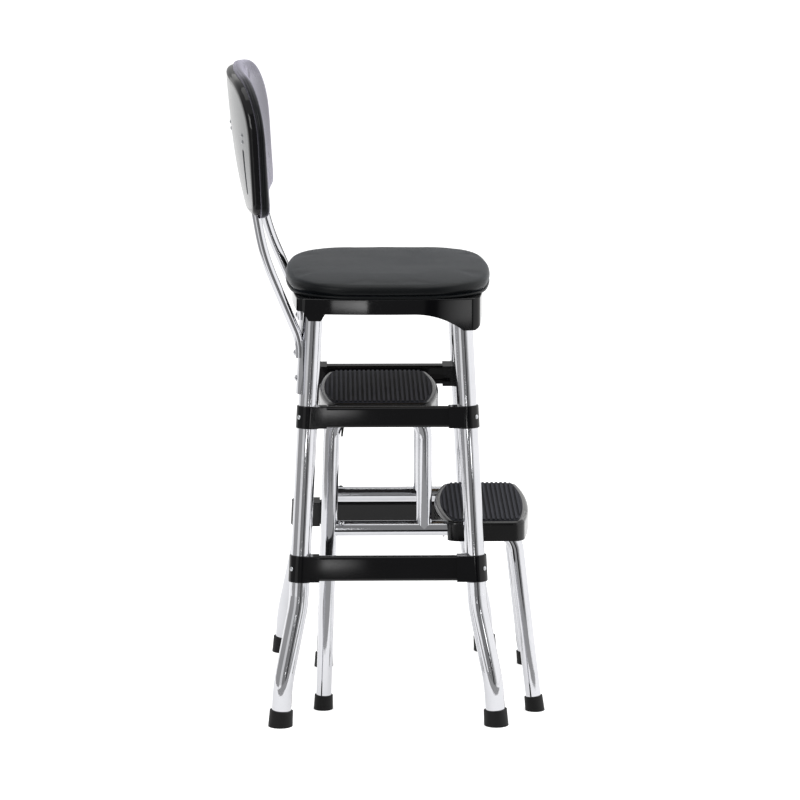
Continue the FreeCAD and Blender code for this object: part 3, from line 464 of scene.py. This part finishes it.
def makeSeatPad():
    want = seatPad
    rings = list(want["wall"])
    height = want["top"] - want["bottom"]
    for inset in want["crownInsets"]:
        share = (want["flatInset"] - inset) / want["flatInset"]
        rings.append((inset, height - want["shrink"] - want["crown"] * share ** 2))
    piece, count = ringLoft("seatPad", want, rings)
    closeRing(piece, 0, count)
    closeRing(piece, (len(rings) - 1) * count, count)
    # the outline was drawn across and forward: turn it to the frame's axes
    for vertex in piece.data.vertices:
        x, y, z = vertex.co
        vertex.co = (y, -x, z + want["bottom"] / 1000)
    finishMesh(piece, 0)
    low = (want["bottom"] + want["heldHeight"]) / 1000
    puff(piece, lambda co: co.z < low, want["pressure"], want["cap"])
    finishMesh(piece, 1)
    return piece


seatCushion = makeSeatPad()
seatCushion.data.materials.append(finishes["black_vinyl"])
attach(seatCushion, "chair")
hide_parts("seat_cushion")
print("seat cushion made:", len(seatCushion.data.polygons), "faces")


# Seat welt: a vinyl covered cord in the tuck under the cushion

seatWelt = {"inset": 3.0, "diameter": 4.2, "height": 590.2, "sides": 12}


def makeWelt():
    want = seatWelt
    ring = outlinePoints(seatPad, want["inset"])
    curve = bpy.data.curves.new("seatWelt", "CURVE")
    curve.dimensions = "3D"
    line = curve.splines.new("NURBS")
    line.points.add(len(ring) - 1)
    for point, spot in zip(line.points, ring):
        point.co = (spot.y / 1000, -spot.x / 1000, want["height"] / 1000, 1.0)
    line.use_cyclic_u = True
    line.order_u = 3
    curve.bevel_depth = want["diameter"] / 2000
    curve.bevel_resolution = want["sides"] // 4
    piece = addToScene("seatWeltCord", curve)
    bpy.ops.object.select_all(action="DESELECT")
    piece.select_set(True)
    bpy.context.view_layer.objects.active = piece
    bpy.ops.object.convert(target="MESH")
    finishMesh(piece, 0)
    return piece


weltPiece = makeWelt()
weltPiece.data.materials.append(finishes["black_vinyl"])
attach(weltPiece, "chair")
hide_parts("seat_welt")
print("seat welt made")


# Back cushion: a thinner pad that follows the curve of the shell. It is sideDepth thick at its
# low corners and loses lean per millimetre of height. tilt lifts what lies in front of tiltAbout,
# so that its edge stays square to the shell, which leans back

backPad = {"halfWidth": 171.6, "low": 689.4, "high": 893.6, "sideBow": 1800.0,
           "lowBow": 2600.0, "highBow": 620.0, "lowCorner": 22.0, "highCorner": 88.0,
           "follow": 0.8, "leastCorner": 3.0, "endSteps": 16, "cornerSteps": 14,
           "sideSteps": 10, "shellThickness": 10.0, "gap": 0.4, "tilt": 0.12,
           "tiltAbout": -190.0, "sideDepth": 13.0, "lean": 0.008, "crown": 6.0,
           # height, x at the side edge and x in the middle of the shell's rear face
           "rearLine": ((680.0, -178.87, -188.74), (760.0, -183.1, -207.6),
                        (830.0, -186.7, -216.1), (905.0, -190.6, -222.1)),
           "edgeWidth": 165.0,
           # inset from the outline and share of the pad's depth
           "wall": ((10.0, 0.0), (0.9, 0.0), (0.3, 0.07), (0.0, 0.2), (0.5, 0.27),
                    (0.0, 0.34), (0.1, 0.46), (0.6, 0.58), (1.6, 0.7), (3.0, 0.81),
                    (5.0, 0.9), (7.6, 0.96), (11.0, 0.99), (16.0, 1.0), (24.0, 1.0),
                    (36.0, 1.0), (50.0, 1.0), (66.0, 1.0)),
           "heldDepth": 4.0, "pressure": 2.0, "cap": 0.001}


def rearFace(across, height):
    # x of the shell's rear face, in millimetres
    line = backPad["rearLine"]
    for low, high in zip(line, line[1:]):
        if height <= high[0]:
            break
    share = (height - low[0]) / (high[0] - low[0])
    edge = low[1] + share * (high[1] - low[1])
    middle = low[2] + share * (high[2] - low[2])
    rise = edge - middle
    radius = (backPad["edgeWidth"] ** 2 + rise ** 2) / (2 * rise)
    return middle + radius - math.sqrt(radius ** 2 - across ** 2)


def makeBackPad():
    want = backPad
    piece, count = ringLoft("backPad", want, want["wall"])
    closeRing(piece, 0, count)
    closeRing(piece, (len(want["wall"]) - 1) * count, count)
    # the outline was drawn across and up, with the share of the depth as its third place
    for vertex in piece.data.vertices:
        across, level, share = (v * 1000 for v in vertex.co)
        base = rearFace(across, level) + want["shellThickness"] + want["gap"]
        side = min(1.0, abs(across) / want["edgeWidth"])
        crown = want["crown"] * (1 - side ** 2)
        depth = want["sideDepth"] - want["lean"] * (level - want["low"]) + crown - want["gap"]
        x = base + share * depth
        z = level + want["tilt"] * (x - want["tiltAbout"])
        vertex.co = (x / 1000, across / 1000, z / 1000)
    finishMesh(piece, 0)
    heldReach = want["shellThickness"] + want["heldDepth"]
    puff(piece, lambda co: co.x * 1000 < rearFace(co.y * 1000, co.z * 1000) + heldReach,
         want["pressure"], want["cap"])
    finishMesh(piece, 1)
    return piece


backCushion = makeBackPad()
backCushion.data.materials.append(makeVinyl("stretchedVinyl", stretchedVinyl))
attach(backCushion, "chair")
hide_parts("back_cushion")
print("back cushion made:", len(backCushion.data.polygons), "faces")


# Studio: pale floor, soft lamps, and cards round the object that only its gloss shows.
# floorGlow lifts the floor to white where it is seen, and worldFill is the light that the white
# surroundings give

studio = {"floorColour": "#e8e8e8", "floorSize": 60.0, "floorGlow": 0.62, "worldFill": 0.7,
          "backdrop": "#ffffff"}


def seenRay(tree):
    # 1 where the lens, a mirror or a clear piece looks at the white, 0 where it only gives light
    path = addNode(tree, "ShaderNodeLightPath", {})
    seen = path.outputs["Is Camera Ray"]
    for kind in ("Is Glossy Ray", "Is Transmission Ray"):
        seen = addNode(tree, "ShaderNodeMath", {
            0: seen, 1: path.outputs[kind]}, operation="MAXIMUM").outputs[0]
    return seen


def makeFloor():
    bpy.ops.mesh.primitive_plane_add(size=studio["floorSize"], location=(0, 0, 0))
    floor = startPiece("studioFloor")
    material, tree, _ = startMaterial("paperFloor")
    paper = addNode(tree, "ShaderNodeBsdfDiffuse", {
        "Color": linearColour(studio["floorColour"])})
    glow = addNode(tree, "ShaderNodeEmission", {"Strength": studio["floorGlow"]})
    both = addNode(tree, "ShaderNodeAddShader", {0: paper.outputs[0], 1: glow.outputs[0]})
    endMaterial(tree, addNode(tree, "ShaderNodeMixShader", {
        0: seenRay(tree), 1: paper.outputs[0], 2: both.outputs[0]}))
    floor.data.materials.append(material)


def makeWorld():
    world = bpy.data.worlds.new("studioWorld")
    bpy.context.scene.world = world
    world.use_nodes = True
    tree = world.node_tree
    tree.nodes.clear()
    light = addNode(tree, "ShaderNodeBackground", {
        "Color": linearColour(studio["backdrop"]),
        "Strength": ramp(tree, seenRay(tree), studio["worldFill"], 1.0)})
    addNode(tree, "ShaderNodeOutputWorld", {"Surface": light.outputs[0]})


# Three soft boxes that all look at the middle of the chair: place and size in metres, watts
lamps = {
    "keyLamp": {"place": (-1.6, -2.6, 2.4), "size": (1.4, 1.4), "power": 40.0},
    "topLamp": {"place": (0.3, 0.2, 3.0), "size": (2.2, 2.2), "power": 30.0},
    "sideLamp": {"place": (2.8, -0.6, 1.6), "size": (1.0, 2.0), "power": 20.0},
}
lampTarget = (0.0, 0.0, 0.5)


def addLamp(name, want):
    lamp = bpy.data.lights.new(name, "AREA")
    lamp.shape = "RECTANGLE"
    lamp.size, lamp.size_y = want["size"]
    lamp.energy = want["power"]
    holder = addToScene(name, lamp)
    holder.location = want["place"]
    aim = Vector(lampTarget) - Vector(want["place"])
    holder.rotation_euler = aim.to_track_quat("-Z", "Y").to_euler()


# Each card is bent round the object: bearings in degrees from the camera's side towards the
# sitter's front, radius and heights in metres, and how bright it looks in a mirror
cards = {
    "frontCard": {"from": -24.0, "to": 34.0, "radius": 1.9, "low": 0.0, "high": 2.8,
                  "glow": 0.33},
    "darkStrip": {"from": 9.0, "to": 18.0, "radius": 1.7, "low": 0.0, "high": 1.3,
                  "glow": 0.03},
    "leftCard": {"from": -110.0, "to": -48.0, "radius": 1.9, "low": 0.0, "high": 1.6,
                 "glow": 0.5},
    "rightBox": {"from": 46.0, "to": 128.0, "radius": 2.0, "low": 0.05, "high": 1.9,
                 "glow": 1.6},
    "rearStrip": {"from": 174.0, "to": 186.0, "radius": 1.8, "low": 0.0, "high": 0.6,
                  "glow": 0.08},
    "rearCard": {"from": 150.0, "to": 210.0, "radius": 1.9, "low": 0.75, "high": 1.5,
                 "glow": 0.45},
}
# A dim sheet on the floor between the camera and the object, from corner to corner
floorCard = {"low": (-0.8, -1.9), "high": (1.0, -0.5), "lift": 0.001, "glow": 0.5}

# Small soft boxes on the camera's side for the highlights on the skirt and the side braces:
# distance, middle and size in metres, and the glow at the box's two ends
glints = {
    "skirtGlint": {"away": 1.4, "across": -0.2, "height": 0.371, "size": (0.2, 0.02),
                   "glow": (7.0, 14.0)},
    "skirtEndGlint": {"away": 1.4, "across": 0.43, "height": 0.358, "size": (0.26, 0.05),
                      "glow": (0.3, 6.0)},
    "upperBraceGlint": {"away": 1.4, "across": -0.055, "height": 0.420, "size": (0.075, 0.018),
                        "glow": (13.0, 0.0)},
    "lowerBraceGlint": {"away": 1.4, "across": -0.055, "height": 0.163, "size": (0.075, 0.014),
                        "glow": (13.0, 0.0)},
}


def stageCard(card, material):
    # only glossy faces meet the card: the lens doesn't, and it gives no light or shadow
    card.data.materials.append(material)
    card.visible_camera = False
    card.visible_diffuse = False
    card.visible_shadow = False


def evenGlow(name, strength):
    material, tree, _ = startMaterial(name)
    endMaterial(tree, addNode(tree, "ShaderNodeEmission", {"Strength": strength}))
    return material


def fadingGlow(name, start, end, strengths):
    # from one strength to the other between two places along the object's x
    material, tree, place = startMaterial(name)
    along = addNode(tree, "ShaderNodeSeparateXYZ", {"Vector": place}).outputs["X"]
    fade = addNode(tree, "ShaderNodeMapRange", {
        "Value": along, "From Min": start, "From Max": end,
        "To Min": strengths[0], "To Max": strengths[1]}).outputs["Result"]
    endMaterial(tree, addNode(tree, "ShaderNodeEmission", {"Strength": fade}))
    return material


cardStrips = 24        # flat strips that make the bend of a card


def addCard(name, want):
    bpy.ops.mesh.primitive_grid_add(x_subdivisions=cardStrips, y_subdivisions=1, size=1.0)
    card = startPiece(name)
    for vertex in card.data.vertices:
        along, rise = vertex.co.x + 0.5, vertex.co.y + 0.5
        bearing = math.radians(want["from"] + along * (want["to"] - want["from"]))
        vertex.co = (want["radius"] * math.sin(bearing), -want["radius"] * math.cos(bearing),
                     want["low"] + rise * (want["high"] - want["low"]))
    stageCard(card, evenGlow(name + "Glow", want["glow"]))


def addFloorCard(want):
    bpy.ops.mesh.primitive_plane_add(size=1.0)
    card = startPiece("floorCard")
    for vertex in card.data.vertices:
        x, y = (low + (spot + 0.5) * (high - low)
                for low, high, spot in zip(want["low"], want["high"], vertex.co))
        vertex.co = (x, y, want["lift"])
    stageCard(card, evenGlow("floorCardGlow", want["glow"]))


def addGlint(name, want):
    bpy.ops.mesh.primitive_plane_add(size=1.0)
    box = startPiece(name)
    width, height = want["size"]
    for vertex in box.data.vertices:
        x, rise = vertex.co.x * width, vertex.co.y * height
        vertex.co = (want["across"] + x, -want["away"], want["height"] + rise)
    start = want["across"] - width / 2
    stageCard(box, fadingGlow(name + "Glow", start, start + width, want["glow"]))


# The camera's place in metres, how far it looks down and to the right in degrees, and the focal
# length and sensor width in millimetres
viewpoint = {"place": (-0.0738, -5.5988, 1.5062), "down": 11.02, "right": 0.963,
             "focalLength": 182.58, "sensor": 36.0, "farthest": 100.0}


def makeCamera():
    want = viewpoint
    lens = bpy.data.cameras.new("camera")
    lens.sensor_width = want["sensor"]
    lens.lens = want["focalLength"]
    lens.clip_end = want["farthest"]
    holder = addToScene("camera", lens)
    holder.location = want["place"]
    holder.rotation_euler = (math.radians(90 - want["down"]), 0, math.radians(-want["right"]))
    bpy.context.scene.camera = holder


makeFloor()
makeWorld()
for name, want in cards.items():
    addCard(name, want)
addFloorCard(floorCard)
for name, want in glints.items():
    addGlint(name, want)
for name, want in lamps.items():
    addLamp(name, want)
makeCamera()
bpy.context.scene.view_settings.view_transform = "Standard"
print("studio set")
